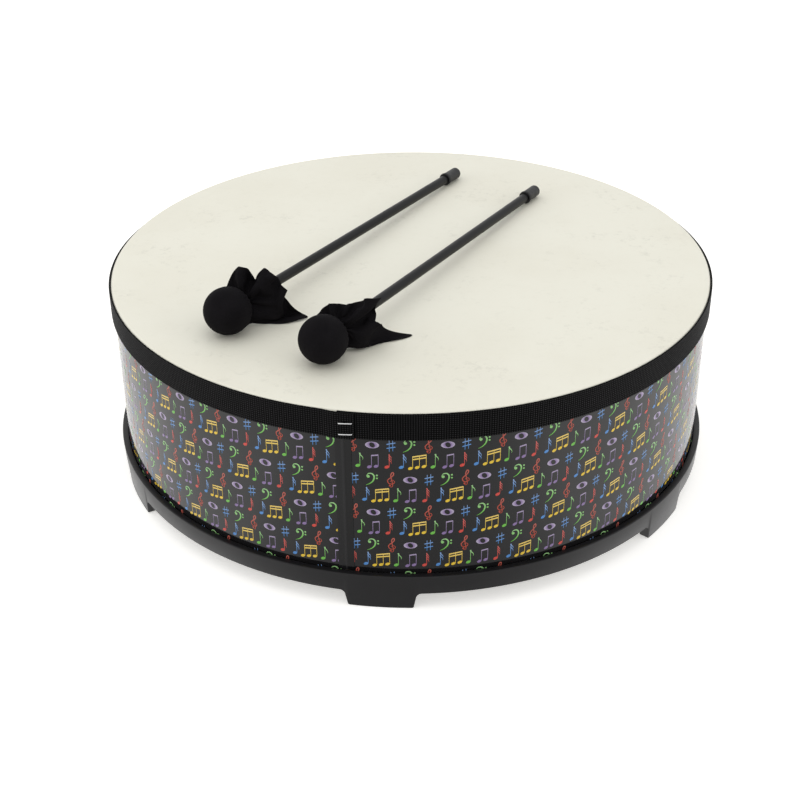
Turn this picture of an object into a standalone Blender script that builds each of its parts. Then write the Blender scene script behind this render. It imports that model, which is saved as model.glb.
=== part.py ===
# Floor drum: a film head on a printed round shell that stands in a six-footed ring,
# with two cloth-headed mallets lying on the head.
# Metres, +Z up. The origin is on the floor below the drum's centre and the front faces -Y.
# Angles round the drum are in degrees from the front towards +X.

import math

import bmesh
import bpy
from mathutils import Vector

MM = 0.001

# Fit and facets
GAP = 0.3 * MM                   # between pieces that touch
DRUM_FACETS = 96                 # round the drum, a multiple of four
ROD_FACETS = 24                  # round a mallet's rod, tie and cap
BALL_ROWS = 9                    # facets from a mallet ball's front to its neck
SKIRT_ROWS = 5                   # facets from the neck to the cloth's hem

# Foot ring
FOOT_COUNT = 6
FOOT_ANGLE = -5.8                # middle of the front foot
FOOT_HEIGHT = 15.7 * MM          # floor to the ring's lower edge
FOOT_WIDTH = 56.0 * MM           # along the floor
FOOT_FLARE = 3.0 * MM            # each side, from the floor up to the ring
FOOT_FILLET = 5.0 * MM           # where a foot's side runs into the ring
FOOT_CORNER = 2.0 * MM           # round at the floor
FOOT_DEPTH = 9.0 * MM            # radial, at the floor
RING_DRAFT = 1.9 * MM            # the outside leans in by this much at the floor
RING_SKIRT = 2.5 * MM            # wall below the shelf
SHELF_THICKNESS = 4.0 * MM
SHELF_REACH = 6.0 * MM           # inwards past the shell's inner face
LIP_HEIGHT = 12.0 * MM           # ring wall above the shelf
LIP_THICKNESS = 5.7 * MM
LIP_BEVEL = 1.0 * MM             # on the lip's outer edge
RING_CLEARANCE = 0.5 * MM        # between the lip and the wrapped shell

# Shell
SHELL_RADIUS = 277.0 * MM        # outside
SHELL_WALL = 7.0 * MM
SHELL_HEIGHT = 167.2 * MM
BEARING_ROUND = 2.0 * MM         # outer edge, under the head
BEARING_BEVEL = 3.5 * MM         # inner edge, under the head

# Printed wrap and the strip over its joint
WRAP_THICKNESS = 0.4 * MM
WRAP_SETBACK = 4.0 * MM          # below the shell's top
WRAP_BUTT = 2.0 * MM             # between the wrap's two ends
SEAM_ANGLE = -11.55
SEAM_WIDTH = 13.3 * MM
SEAM_THICKNESS = 0.4 * MM
SEAM_TUCK = 2.0 * MM             # under the band
SEAM_STEPS = 6

# Head
HEAD_THICKNESS = 0.5 * MM
HEAD_BEND = 2.5 * MM             # outside radius where the film turns down
HEAD_HEM = 7.4 * MM              # the film's lower edge above the band's

# Webbing band
BAND_WIDTH = 24.0 * MM
BAND_THICKNESS = 1.7 * MM
BAND_DROP = 0.5 * MM             # top edge below the head
BAND_JOINT_ANGLE = -11.0
BAND_LAP = 14.0 * MM             # one end over the other
BAND_RAMP = 16.0 * MM            # climb on to the lap
BAND_RAMP_STEPS = 5

# Staples through the lap
STAPLE_CROWN = 11.4 * MM
STAPLE_LEG = 10.0 * MM
WIRE_WIDTH = 1.0 * MM            # up the band
WIRE_DEPTH = 0.6 * MM
STAPLE_RISES = {"staple_upper": 15.1 * MM, "staple_lower": 5.0 * MM}  # above the band's lower edge

# Mallets
MALLET_LENGTH = 423.0 * MM
BALL_RADIUS = 20.7 * MM          # over the cloth
CLOTH_THICKNESS = 0.8 * MM
ROD_RADIUS = 4.5 * MM
ROD_SEAT = 8.0 * MM              # into the ball, past its centre
ROD_CHAMFER = 0.6 * MM
TIE_RADIUS = 1.2 * MM            # of the tie's cord
TIE_FACETS = 8
CAP_LENGTH = 25.0 * MM
CAP_WALL = 1.0 * MM
CAP_END = 3.0 * MM               # thickness of the closed end
CAP_ROUND = 2.0 * MM             # edge of the closed end
CAP_LIP = 0.6 * MM               # bead round the mouth, proud of the cap
CAP_LIP_WIDTH = 2.4 * MM

# Where each mallet lies: its ball's centre on the head and its rod's heading from +X
MALLET_PLACES = {
    "left_mallet": (-156.7 * MM, -143.6 * MM, 58.85),
    "right_mallet": (-73.3 * MM, -196.0 * MM, 59.5),
}

# The free cloth behind each tie, as the ridges and valleys of its hem.
# Each is an angle round the rod from straight up towards the right, the hem's reach
# from the rod's axis and its setback behind the tie.
CLOTH_FOLDS = {
    "left_mallet": (
        (-15, 31.0 * MM, 4.0 * MM),
        (10, 20.0 * MM, 14.0 * MM),
        (30, 35.0 * MM, 10.0 * MM),
        (52, 36.0 * MM, 14.0 * MM),
        (66, 26.0 * MM, 21.0 * MM),
        (77, 38.0 * MM, 22.0 * MM),
        (92, 24.0 * MM, 27.0 * MM),
        (112, 47.0 * MM, 34.0 * MM),
        (136, 27.0 * MM, 6.0 * MM),
        (160, 20.0 * MM, 3.0 * MM),
        (188, 18.5 * MM, 20.0 * MM),
        (215, 21.0 * MM, 13.0 * MM),
        (248, 21.0 * MM, 23.0 * MM),
        (285, 25.0 * MM, 10.0 * MM),
        (312, 19.0 * MM, 17.0 * MM),
        (330, 25.0 * MM, 6.0 * MM),
    ),
    "right_mallet": (
        (-22, 23.0 * MM, 4.0 * MM),
        (3, 18.0 * MM, 13.0 * MM),
        (30, 33.0 * MM, 17.0 * MM),
        (46, 39.0 * MM, 22.0 * MM),
        (63, 27.0 * MM, 25.0 * MM),
        (79, 30.0 * MM, 22.0 * MM),
        (93, 22.0 * MM, 29.0 * MM),
        (112, 45.5 * MM, 54.0 * MM),
        (132, 27.0 * MM, 23.0 * MM),
        (158, 19.5 * MM, 8.0 * MM),
        (186, 18.5 * MM, 22.0 * MM),
        (214, 21.0 * MM, 12.0 * MM),
        (247, 21.0 * MM, 22.0 * MM),
        (288, 25.0 * MM, 7.0 * MM),
        (308, 20.0 * MM, 15.0 * MM),
        (323, 24.0 * MM, 6.0 * MM),
    ),
}

# Heights from the floor up
SHELF_TOP = FOOT_HEIGHT + RING_SKIRT + SHELF_THICKNESS
RING_TOP = SHELF_TOP + LIP_HEIGHT
SHELL_BOTTOM = SHELF_TOP + GAP
SHELL_TOP = SHELL_BOTTOM + SHELL_HEIGHT
HEAD_TOP = SHELL_TOP + GAP + HEAD_THICKNESS
BAND_TOP = HEAD_TOP - BAND_DROP
BAND_BOTTOM = BAND_TOP - BAND_WIDTH

# Radii from the shell outwards
SHELL_INNER = SHELL_RADIUS - SHELL_WALL
WRAP_INNER = SHELL_RADIUS + GAP
WRAP_OUTER = WRAP_INNER + WRAP_THICKNESS
HEAD_INNER = WRAP_OUTER + GAP
HEAD_OUTER = HEAD_INNER + HEAD_THICKNESS
BAND_INNER = HEAD_INNER + max(HEAD_THICKNESS, SEAM_THICKNESS) + GAP
LAP_INNER = BAND_INNER + BAND_THICKNESS + GAP
LAP_OUTER = LAP_INNER + BAND_THICKNESS
LIP_INNER = WRAP_OUTER + RING_CLEARANCE
RING_OUTER = LIP_INNER + LIP_THICKNESS

# Sizes along and round a mallet, from the ball's centre
CORE_RADIUS = BALL_RADIUS - CLOTH_THICKNESS - GAP
BORE_RADIUS = ROD_RADIUS + GAP
NECK_RADIUS = BORE_RADIUS + CLOTH_THICKNESS / 2
TIE_REACH = BORE_RADIUS + CLOTH_THICKNESS + GAP + TIE_RADIUS
TIE_PLACE = math.sqrt((BALL_RADIUS + GAP + TIE_RADIUS) ** 2 - TIE_REACH ** 2)
SKIRT_PLACE = TIE_PLACE + TIE_RADIUS + GAP + CLOTH_THICKNESS
CAP_FAR = MALLET_LENGTH - BALL_RADIUS
CAP_MOUTH = CAP_FAR - CAP_LENGTH
CAP_RADIUS = BORE_RADIUS + CAP_WALL
LIP_RADIUS = CAP_RADIUS + CAP_LIP


def clear_scene():
    for old in list(bpy.data.objects):
        bpy.data.objects.remove(old, do_unlink=True)


def finish(name, colour, roughness, metallic=0.0):
    material = bpy.data.materials.new(name)
    material.use_nodes = True
    shader = material.node_tree.nodes["Principled BSDF"]
    shader.inputs["Base Color"].default_value = (*colour, 1.0)
    shader.inputs["Roughness"].default_value = roughness
    shader.inputs["Metallic"].default_value = metallic
    return material


def holder(name, location=(0, 0, 0), rotation=(0, 0, 0)):
    empty = bpy.data.objects.new(name, None)
    empty.location = location
    empty.rotation_euler = rotation
    bpy.context.collection.objects.link(empty)
    return empty


def make_piece(name, bm, material=None, parent=None):
    bmesh.ops.remove_doubles(bm, verts=bm.verts, dist=1e-7)
    bmesh.ops.recalc_face_normals(bm, faces=bm.faces)
    mesh = bpy.data.meshes.new(name)
    bm.to_mesh(mesh)
    bm.free()
    mesh.shade_smooth()
    mesh.set_sharp_from_angle(angle=math.radians(35))
    if material:
        mesh.materials.append(material)
    piece = bpy.data.objects.new(name, mesh)
    piece.parent = parent
    bpy.context.collection.objects.link(piece)
    return piece


def make_cutter(name, bm):
    cutter = make_piece(name, bm)
    cutter.hide_render = True
    cutter.display_type = "WIRE"
    return cutter


def cut(piece, cutter):
    boolean = piece.modifiers.new(cutter.name, "BOOLEAN")
    boolean.operation = "DIFFERENCE"
    boolean.solver = "EXACT"
    boolean.object = cutter


def spin(points, axis, facets, closed):
    # turns an outline round an axis; an open outline starts and ends on the axis
    bm = bmesh.new()
    verts = [bm.verts.new(point) for point in points]
    edges = [bm.edges.new(pair) for pair in zip(verts, verts[1:])]
    if closed:
        edges.append(bm.edges.new((verts[-1], verts[0])))
    bmesh.ops.spin(bm, geom=verts + edges, cent=(0, 0, 0), axis=axis,
                   angle=math.tau, steps=facets, use_merge=True)
    return bm


def turn_on_drum(outline, closed=True):
    # outline of (radius, height) pairs
    points = [(radius, 0, height) for radius, height in outline]
    return spin(points, (0, 0, 1), DRUM_FACETS, closed)


def turn_on_rod(outline, facets, closed=False):
    # outline of (place along the rod, radius) pairs
    points = [(along, 0, radius) for along, radius in outline]
    return spin(points, (1, 0, 0), facets, closed)


def loft(bm, sections):
    rings = [[bm.verts.new(point) for point in section] for section in sections]
    for near, far in zip(rings, rings[1:]):
        for k in range(len(near)):
            bm.faces.new((near[k - 1], near[k], far[k], far[k - 1]))
    bm.faces.new(rings[0])
    bm.faces.new(rings[-1])


def round_drum(angle, radius, height):
    turn = math.radians(angle)
    return Vector((radius * math.sin(turn), -radius * math.cos(turn), height))


def arc_section(angle, inner, outer, low, high):
    # a box section square to the drum's wall
    return [round_drum(angle, inner, low), round_drum(angle, outer, low),
            round_drum(angle, outer, high), round_drum(angle, inner, high)]


def degrees_at(length, radius):
    return math.degrees(length / radius)


def corner_arc(before, corner, after, radius, steps=4):
    # points of a round of the given radius in the corner of a flat outline
    corner = Vector(corner)
    to_before = (Vector(before) - corner).normalized()
    to_after = (Vector(after) - corner).normalized()
    half = to_before.angle(to_after) / 2
    centre = corner + (to_before + to_after).normalized() * (radius / math.sin(half))
    start = corner + to_before * (radius / math.tan(half)) - centre
    sweep = start.angle_signed(corner + to_after * (radius / math.tan(half)) - centre)
    points = []
    for step in range(steps + 1):
        turn = -sweep * step / steps
        points.append((centre.x + start.x * math.cos(turn) - start.y * math.sin(turn),
                       centre.y + start.x * math.sin(turn) + start.y * math.cos(turn)))
    return points


def arch_outline():
    # underside between two feet as (place along the ring, height), from one foot to the next
    half = math.pi * RING_OUTER / FOOT_COUNT - FOOT_WIDTH / 2
    margin = FOOT_HEIGHT
    foot = (-half, 0)
    side_top = (-half + FOOT_FLARE, FOOT_HEIGHT)
    side = corner_arc((-half - margin, 0), foot, side_top, FOOT_CORNER)
    side += corner_arc(foot, side_top, (0, FOOT_HEIGHT), FOOT_FILLET)
    start = (side[0][0] - FOOT_CORNER, -FOOT_CORNER / 2)
    crown_steps = 8
    crown = [(side[-1][0] * (1 - 2 * step / crown_steps), FOOT_HEIGHT) for step in range(1, crown_steps)]
    other = [(-along, height) for along, height in reversed([start] + side)]
    return [start] + side + crown + other


def make_foot_ring(material):
    floor_outer = RING_OUTER - RING_DRAFT
    foot_inner = floor_outer - FOOT_DEPTH
    shelf_inner = SHELL_INNER - SHELF_REACH
    shelf_bottom = SHELF_TOP - SHELF_THICKNESS
    ring = make_piece("foot_ring", turn_on_drum([
        (LIP_INNER, RING_TOP),
        (RING_OUTER - LIP_BEVEL, RING_TOP),
        (RING_OUTER, RING_TOP - LIP_BEVEL),
        (floor_outer, 0),
        (foot_inner, 0),
        (foot_inner, shelf_bottom),
        (shelf_inner, shelf_bottom),
        (shelf_inner, SHELF_TOP),
        (LIP_INNER, SHELF_TOP),
    ]), material)
    arches = bmesh.new()
    pitch = 360 / FOOT_COUNT
    for k in range(FOOT_COUNT):
        middle = FOOT_ANGLE + pitch * (k + 0.5)
        loft(arches, [
            arc_section(middle + degrees_at(along, RING_OUTER), foot_inner - FOOT_DEPTH,
                        RING_OUTER + FOOT_DEPTH, -FOOT_HEIGHT, height)
            for along, height in arch_outline()
        ])
    bmesh.ops.triangulate(arches, faces=arches.faces)
    cut(ring, make_cutter("arch_cutter", arches))


def make_shell(material, drum):
    crest = SHELL_RADIUS - BEARING_ROUND
    rounding = corner_arc((SHELL_RADIUS, SHELL_BOTTOM), (SHELL_RADIUS, SHELL_TOP),
                          (SHELL_INNER, SHELL_TOP), BEARING_ROUND, 3)
    bevel = min(BEARING_BEVEL, crest - SHELL_INNER)
    return make_piece("drum_shell", turn_on_drum([
        (SHELL_INNER, SHELL_TOP - bevel),
        (SHELL_INNER, SHELL_BOTTOM),
        (SHELL_RADIUS, SHELL_BOTTOM),
        *rounding,
        (SHELL_INNER + bevel, SHELL_TOP),
    ]), material, drum)


def make_wrap(material, drum):
    top = SHELL_TOP - WRAP_SETBACK
    wrap = make_piece("printed_wrap", turn_on_drum([
        (WRAP_INNER, top),
        (WRAP_INNER, SHELL_BOTTOM),
        (WRAP_OUTER, SHELL_BOTTOM),
        (WRAP_OUTER, top),
    ]), material, drum)
    butt = bmesh.new()
    half = degrees_at(WRAP_BUTT / 2, WRAP_OUTER)
    loft(butt, [
        arc_section(SEAM_ANGLE + side * half, SHELL_INNER, RING_OUTER, SHELF_TOP, HEAD_TOP)
        for side in (-1, 1)
    ])
    cut(wrap, make_cutter("wrap_joint_cutter", butt))
    return wrap


def make_seam_strip(material, drum):
    strip = bmesh.new()
    half = degrees_at(SEAM_WIDTH / 2, HEAD_INNER)
    loft(strip, [
        arc_section(SEAM_ANGLE + half * (2 * step / SEAM_STEPS - 1), HEAD_INNER,
                    HEAD_INNER + SEAM_THICKNESS, RING_TOP + GAP, BAND_BOTTOM + SEAM_TUCK)
        for step in range(SEAM_STEPS + 1)
    ])
    return make_piece("seam_strip", strip, material, drum)


def make_head(material, drum):
    hem = BAND_BOTTOM + HEAD_HEM
    below = HEAD_TOP - HEAD_THICKNESS
    outside = corner_arc((0, HEAD_TOP), (HEAD_OUTER, HEAD_TOP), (HEAD_OUTER, hem), HEAD_BEND)
    inside = corner_arc((HEAD_INNER, hem), (HEAD_INNER, below), (0, below), HEAD_BEND - HEAD_THICKNESS)
    return make_piece("drum_head", turn_on_drum([
        (0, HEAD_TOP), *outside, (HEAD_OUTER, hem), (HEAD_INNER, hem), *inside, (0, below),
    ], closed=False), material, drum)


def make_band(material, drum):
    lap = degrees_at(BAND_LAP, BAND_INNER)
    ramp = degrees_at(BAND_RAMP, BAND_INNER)
    first = BAND_JOINT_ANGLE - lap / 2
    lap_start = first + 360
    last = lap_start + lap
    facet = 360 / DRUM_FACETS
    ramp_start = lap_start - ramp
    angles = [first]
    angles += [facet * k for k in range(-DRUM_FACETS, 2 * DRUM_FACETS) if first < facet * k < ramp_start]
    angles += [ramp_start + ramp * step / BAND_RAMP_STEPS for step in range(BAND_RAMP_STEPS + 1)]
    angles += [(lap_start + last) / 2, last]
    sections = []
    for angle in angles:
        climb = min(max((angle - ramp_start) / ramp, 0), 1)
        inner = BAND_INNER + (LAP_INNER - BAND_INNER) * (1 - math.cos(math.pi * climb)) / 2
        sections.append(arc_section(angle, inner, inner + BAND_THICKNESS, BAND_BOTTOM, BAND_TOP))
    band = bmesh.new()
    loft(band, sections)
    return make_piece("webbing_band", band, material, drum)


def staple_point(across, depth, rise):
    # sideways from the lap's middle, out from its face and up from the band's lower edge
    turn = math.radians(BAND_JOINT_ANGLE)
    reach = LAP_OUTER + GAP + depth
    return Vector((reach * math.sin(turn) + across * math.cos(turn),
                   across * math.sin(turn) - reach * math.cos(turn), BAND_BOTTOM + rise))


def staple_prism(bm, outline, rise, half_height):
    loft(bm, [
        [staple_point(across, depth, height) for across, depth in outline]
        for height in (rise - half_height, rise + half_height)
    ])


def make_staples(material, drum, stapled):
    half = STAPLE_CROWN / 2
    leg = half - WIRE_DEPTH
    wire = [
        (-half, WIRE_DEPTH), (half, WIRE_DEPTH), (half, -STAPLE_LEG), (leg, -STAPLE_LEG),
        (leg, 0), (-leg, 0), (-leg, -STAPLE_LEG), (-half, -STAPLE_LEG),
    ]
    holes = bmesh.new()
    for name, rise in STAPLE_RISES.items():
        staple = bmesh.new()
        staple_prism(staple, wire, rise, WIRE_WIDTH / 2)
        make_piece(name, staple, material, drum)
        for side in (-1, 1):
            near = side * (leg - GAP)
            far = side * (half + GAP)
            hole = [(near, STAPLE_LEG), (far, STAPLE_LEG), (far, -STAPLE_LEG - GAP), (near, -STAPLE_LEG - GAP)]
            staple_prism(holes, hole, rise, WIRE_WIDTH / 2 + GAP)
    cutter = make_cutter("staple_hole_cutter", holes)
    for piece in stapled:
        cut(piece, cutter)


def resting_tilt():
    # the slope at which the ball and the end cap both rest on the head
    def tilt_at(along, radius):
        return math.asin(BALL_RADIUS / math.hypot(along, radius)) - math.atan2(radius, along)
    return min(tilt_at(CAP_FAR - CAP_ROUND, CAP_RADIUS), tilt_at(CAP_MOUTH + CAP_LIP_WIDTH, LIP_RADIUS))


def ball_outline(radius, opening):
    # from the front pole to the edge of the opening at the back
    end = math.pi - math.asin(opening / radius)
    turns = [end * row / BALL_ROWS for row in range(BALL_ROWS + 1)]
    return [(-radius * math.cos(turn), radius * math.sin(turn)) for turn in turns]


def hem_between(folds):
    # the hem's folds, with a smooth point between each two
    count = len(folds)
    hem = []
    for k in range(count):
        around = [folds[(k + step) % count] for step in (-1, 0, 1, 2)]
        angles = [fold[0] + 360 * ((k + step) // count) for fold, step in zip(around, (-1, 0, 1, 2))]
        hem.append((angles[1], around[1][1], around[1][2]))
        blend = [9 * (around[1][n] + around[2][n]) / 16 - (around[0][n] + around[3][n]) / 16 for n in (1, 2)]
        hem.append(((angles[1] + angles[2]) / 2, *blend))
    return hem


def make_cloth(name, folds, tilt, material, mallet):
    hem = hem_between(folds)
    columns = len(hem)
    ball_mid = BALL_RADIUS - CLOTH_THICKNESS / 2
    outline = ball_outline(ball_mid, NECK_RADIUS)
    bm = bmesh.new()
    pole = bm.verts.new((outline[0][0], 0, 0))
    rows = []

    def add_row(points):
        rows.append([bm.verts.new((along, -reach * math.sin(turn), height if height is not None
                                   else reach * math.cos(turn)))
                     for along, reach, turn, height in points])

    evenly = [math.radians(hem[0][0] + 360 * k / columns) for k in range(columns)]
    for along, reach in outline[1:] + [(SKIRT_PLACE, NECK_RADIUS)]:
        add_row([(along, reach, turn, None) for turn in evenly])
    for row in range(1, SKIRT_ROWS + 1):
        share = row / SKIRT_ROWS
        points = []
        for start, (angle, reach, setback) in zip(evenly, hem):
            turn = start + (math.radians(angle) - start) * share
            out = NECK_RADIUS + (reach - NECK_RADIUS) * share
            along = SKIRT_PLACE + setback * share ** 1.3
            lowest = (CLOTH_THICKNESS - BALL_RADIUS + along * math.sin(tilt)) / math.cos(tilt)
            points.append((along, out, turn, max(out * math.cos(turn), lowest)))
        add_row(points)
    for k in range(columns):
        bm.faces.new((pole, rows[0][k - 1], rows[0][k]))
    for near, far in zip(rows, rows[1:]):
        for k in range(columns):
            bm.faces.new((near[k - 1], near[k], far[k], far[k - 1]))
    cloth = make_piece(name + "_cloth", bm, material, mallet)
    solidify = cloth.modifiers.new("thickness", "SOLIDIFY")
    solidify.thickness = CLOTH_THICKNESS
    solidify.offset = 0


def make_mallet(name, materials):
    across, along, heading = MALLET_PLACES[name]
    tilt = resting_tilt()
    mallet = holder(name, (across, along, HEAD_TOP + GAP + BALL_RADIUS), (0, tilt, math.radians(heading)))
    folds = CLOTH_FOLDS[name]
    columns = 2 * len(folds)
    rod_start = -ROD_SEAT + GAP
    cap_floor = CAP_FAR - CAP_END
    rod_end = cap_floor - GAP

    make_piece(name + "_core", turn_on_rod([
        *ball_outline(CORE_RADIUS, BORE_RADIUS), (-ROD_SEAT, BORE_RADIUS), (-ROD_SEAT, 0),
    ], columns), materials["core"], mallet)

    make_piece(name + "_rod", turn_on_rod([
        (rod_start, 0), (rod_start, ROD_RADIUS - ROD_CHAMFER), (rod_start + ROD_CHAMFER, ROD_RADIUS),
        (rod_end - ROD_CHAMFER, ROD_RADIUS), (rod_end, ROD_RADIUS - ROD_CHAMFER), (rod_end, 0),
    ], ROD_FACETS), materials["rod"], mallet)

    make_cloth(name, folds, tilt, materials["cloth"], mallet)

    tie_turns = [math.tau * step / TIE_FACETS for step in range(TIE_FACETS)]
    make_piece(name + "_tie", turn_on_rod([
        (TIE_PLACE + TIE_RADIUS * math.cos(turn), TIE_REACH + TIE_RADIUS * math.sin(turn))
        for turn in tie_turns
    ], ROD_FACETS, closed=True), materials["tie"], mallet)

    end_round = corner_arc((CAP_FAR, 0), (CAP_FAR, CAP_RADIUS), (CAP_MOUTH, CAP_RADIUS), CAP_ROUND, 3)
    make_piece(name + "_cap", turn_on_rod([
        (CAP_FAR, 0), *end_round,
        (CAP_MOUTH + CAP_LIP_WIDTH + CAP_LIP, CAP_RADIUS), (CAP_MOUTH + CAP_LIP_WIDTH, LIP_RADIUS),
        (CAP_MOUTH, LIP_RADIUS), (CAP_MOUTH, BORE_RADIUS), (cap_floor, BORE_RADIUS), (cap_floor, 0),
    ], ROD_FACETS), materials["cap"], mallet)


def main():
    clear_scene()
    drum = holder("drum")

    make_foot_ring(finish("satin_black_plastic", (0.028, 0.027, 0.029), 0.42))

    shell = make_shell(finish("shell_fibreboard", (0.30, 0.22, 0.14), 0.75), drum)
    wrap = make_wrap(finish("dark_gloss_film", (0.030, 0.029, 0.031), 0.18), drum)
    strip = make_seam_strip(finish("plain_dark_film", (0.022, 0.021, 0.023), 0.22), drum)
    head = make_head(finish("ivory_film", (0.81, 0.79, 0.70), 0.62), drum)
    band = make_band(finish("black_webbing", (0.012, 0.012, 0.013), 0.85), drum)
    make_staples(finish("staple_steel", (0.62, 0.62, 0.62), 0.32, 1.0), drum,
                 (shell, wrap, strip, head, band))

    mallet_materials = {
        "core": finish("ball_rubber", (0.05, 0.05, 0.05), 0.70),
        "rod": finish("dark_fibre_rod", (0.040, 0.040, 0.045), 0.40),
        "cloth": finish("black_cloth", (0.010, 0.009, 0.010), 0.80),
        "tie": finish("black_cord", (0.012, 0.012, 0.012), 0.85),
        "cap": finish("black_rubber", (0.035, 0.035, 0.038), 0.55),
    }
    for name in MALLET_PLACES:
        make_mallet(name, mallet_materials)


main()
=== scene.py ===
import math

import bmesh
import bpy
import numpy as np
from mathutils import Euler, Matrix, Vector


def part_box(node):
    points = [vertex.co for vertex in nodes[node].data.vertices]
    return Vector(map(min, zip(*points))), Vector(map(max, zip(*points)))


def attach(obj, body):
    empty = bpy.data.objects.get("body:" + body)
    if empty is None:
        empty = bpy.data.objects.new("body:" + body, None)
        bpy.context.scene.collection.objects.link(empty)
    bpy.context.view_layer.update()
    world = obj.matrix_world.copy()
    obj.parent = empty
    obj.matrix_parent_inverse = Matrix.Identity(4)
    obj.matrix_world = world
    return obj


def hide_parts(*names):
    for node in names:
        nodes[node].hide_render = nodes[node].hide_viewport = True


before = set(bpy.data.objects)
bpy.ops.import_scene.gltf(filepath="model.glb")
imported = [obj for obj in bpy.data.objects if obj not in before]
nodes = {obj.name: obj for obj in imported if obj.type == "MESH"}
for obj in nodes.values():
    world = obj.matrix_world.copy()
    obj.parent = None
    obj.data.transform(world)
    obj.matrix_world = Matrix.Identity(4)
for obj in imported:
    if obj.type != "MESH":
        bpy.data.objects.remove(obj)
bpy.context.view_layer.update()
scene = bpy.context.scene
mm = 0.001


class Wire:
    # a socket of a node tree; sums on it add Math nodes
    def __init__(self, tree, socket):
        self.tree = tree
        self.socket = socket

    def node(self, kind, settings=None, values=None, out=0):
        made = self.tree.nodes.new(kind)
        for key, value in (settings or {}).items():
            if key == "stops":
                setStops(made.color_ramp, value)
            else:
                setattr(made, key, value)
        for key, value in (values or {}).items():
            for part in value if isinstance(value, list) else [value]:
                if isinstance(part, Wire):
                    self.tree.links.new(part.socket, made.inputs[key])
                else:
                    made.inputs[key].default_value = part
        return Wire(self.tree, made.outputs[out])

    def other(self, out):
        return Wire(self.tree, self.socket.node.outputs[out])

    def sum(self, operation, *terms):
        return self.node("ShaderNodeMath", {"operation": operation}, dict(enumerate(terms)))

    def of(self, function):
        # a function of this value alone, such as its sine
        return self.sum(function, self)

    def __add__(self, term):
        return self.sum("ADD", self, term)

    def __sub__(self, term):
        return self.sum("SUBTRACT", self, term)

    def __rsub__(self, term):
        return self.sum("SUBTRACT", term, self)

    def __mul__(self, term):
        return self.sum("MULTIPLY", self, term)

    def __truediv__(self, term):
        return self.sum("DIVIDE", self, term)

    def __mod__(self, term):
        return self.sum("FLOORED_MODULO", self, term)

    __radd__ = __add__
    __rmul__ = __mul__

    def ease(self, low, high, start=0.0, end=1.0):
        return self.node("ShaderNodeMapRange", {"interpolation_type": "SMOOTHSTEP"},
                         {"Value": self, "From Min": low, "From Max": high, "To Min": start, "To Max": end})

    def between(self, first, second):
        # a colour between two, with this as the share of the second
        return self.node("ShaderNodeMix", {"data_type": "RGBA"},
                         {0: self, 6: paint(first), 7: paint(second)}, out=2)

    def axes(self):
        split = self.node("ShaderNodeSeparateXYZ", None, {0: self})
        return split, split.other(1), split.other(2)

    def join(self, x, y, z):
        return self.node("ShaderNodeCombineXYZ", None, {0: x, 1: y, 2: z})

    def noise(self, scale, detail=2.0, roughness=0.5):
        values = {"Vector": self, "Scale": scale, "Detail": detail, "Roughness": roughness}
        return self.node("ShaderNodeTexNoise", None, values, out="Fac")

    def mapped(self, turn=(0, 0, 0), scale=(1, 1, 1)):
        return self.node("ShaderNodeMapping", None, {"Vector": self, "Rotation": turn, "Scale": scale})

    def bump(self, strength, distance):
        return self.node("ShaderNodeBump", None, {"Height": self, "Strength": strength, "Distance": distance},
                         out="Normal")


def setStops(ramp, stops):
    while len(ramp.elements) < len(stops):
        ramp.elements.new(0.5)
    for element, (place, shade) in zip(ramp.elements, stops):
        element.position = place
        element.color = paint(shade)


def paint(value):
    return value if isinstance(value, Wire) else (*value, 1.0)


def surface(name, **constants):
    # a material, its place on the piece and a function that feeds the shader's sockets
    material = bpy.data.materials.new(name)
    material.use_nodes = True
    tree = material.node_tree
    shader = tree.nodes["Principled BSDF"]
    for key, value in constants.items():
        shader.inputs[key.replace("_", " ")].default_value = value
    place = Wire(tree, tree.nodes.new("ShaderNodeTexCoord").outputs["Object"])

    def feed(**wires):
        for key, wire in wires.items():
            tree.links.new(wire.socket, shader.inputs[key.replace("_", " ")])

    return material, place, feed


def addPiece(name, body, mesh, stands=(), sharp=35):
    mesh.name = name
    mesh.shade_smooth()
    mesh.set_sharp_from_angle(angle=math.radians(sharp))
    piece = bpy.data.objects.new(name, mesh)
    scene.collection.objects.link(piece)
    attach(piece, body)
    if stands:
        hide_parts(*stands)
    return piece


def meshFrom(rows, material, closedRows=False, closedColumns=False, place=None):
    # a grid of points as a mesh with outward faces; open ends of a closed section are capped
    bm = bmesh.new()
    grid = [[bm.verts.new(place @ Vector(point) if place else point) for point in row] for row in rows]
    pairs = list(zip(grid, grid[1:])) + ([(grid[-1], grid[0])] if closedRows else [])
    for near, far in pairs:
        for k in range(0 if closedColumns else 1, len(near)):
            bm.faces.new((near[k - 1], near[k], far[k], far[k - 1]))
    if closedColumns and not closedRows:
        bm.faces.new(grid[0])
        bm.faces.new(grid[-1])
    bmesh.ops.remove_doubles(bm, verts=bm.verts, dist=1e-7)
    bmesh.ops.recalc_face_normals(bm, faces=bm.faces)
    mesh = bpy.data.meshes.new("piece")
    bm.to_mesh(mesh)
    bm.free()
    mesh.materials.append(material)
    return mesh


def lathe(outline, steps, material, closed=True, place=None):
    # turns an outline of (radius, height) round Z
    turns = [math.tau * step / steps for step in range(steps)]
    rows = [[(radius * math.cos(turn), radius * math.sin(turn), height) for radius, height in outline]
            for turn in turns]
    return meshFrom(rows, material, True, closed, place)


def roundDrum(angle, radius, height):
    # a point of the drum; angles run from the front towards the right
    turn = math.radians(angle)
    return (radius * math.sin(turn), -radius * math.cos(turn), height)


def sheetRow(angle, inner, outer, low, high):
    # a thin sheet's section at one angle round the drum
    corners = ((inner, low), (outer, low), (outer, high), (inner, high))
    return [roundDrum(angle, *corner) for corner in corners]


def spread(start, end, steps):
    return [start + (end - start) * step / steps for step in range(steps + 1)]


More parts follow.
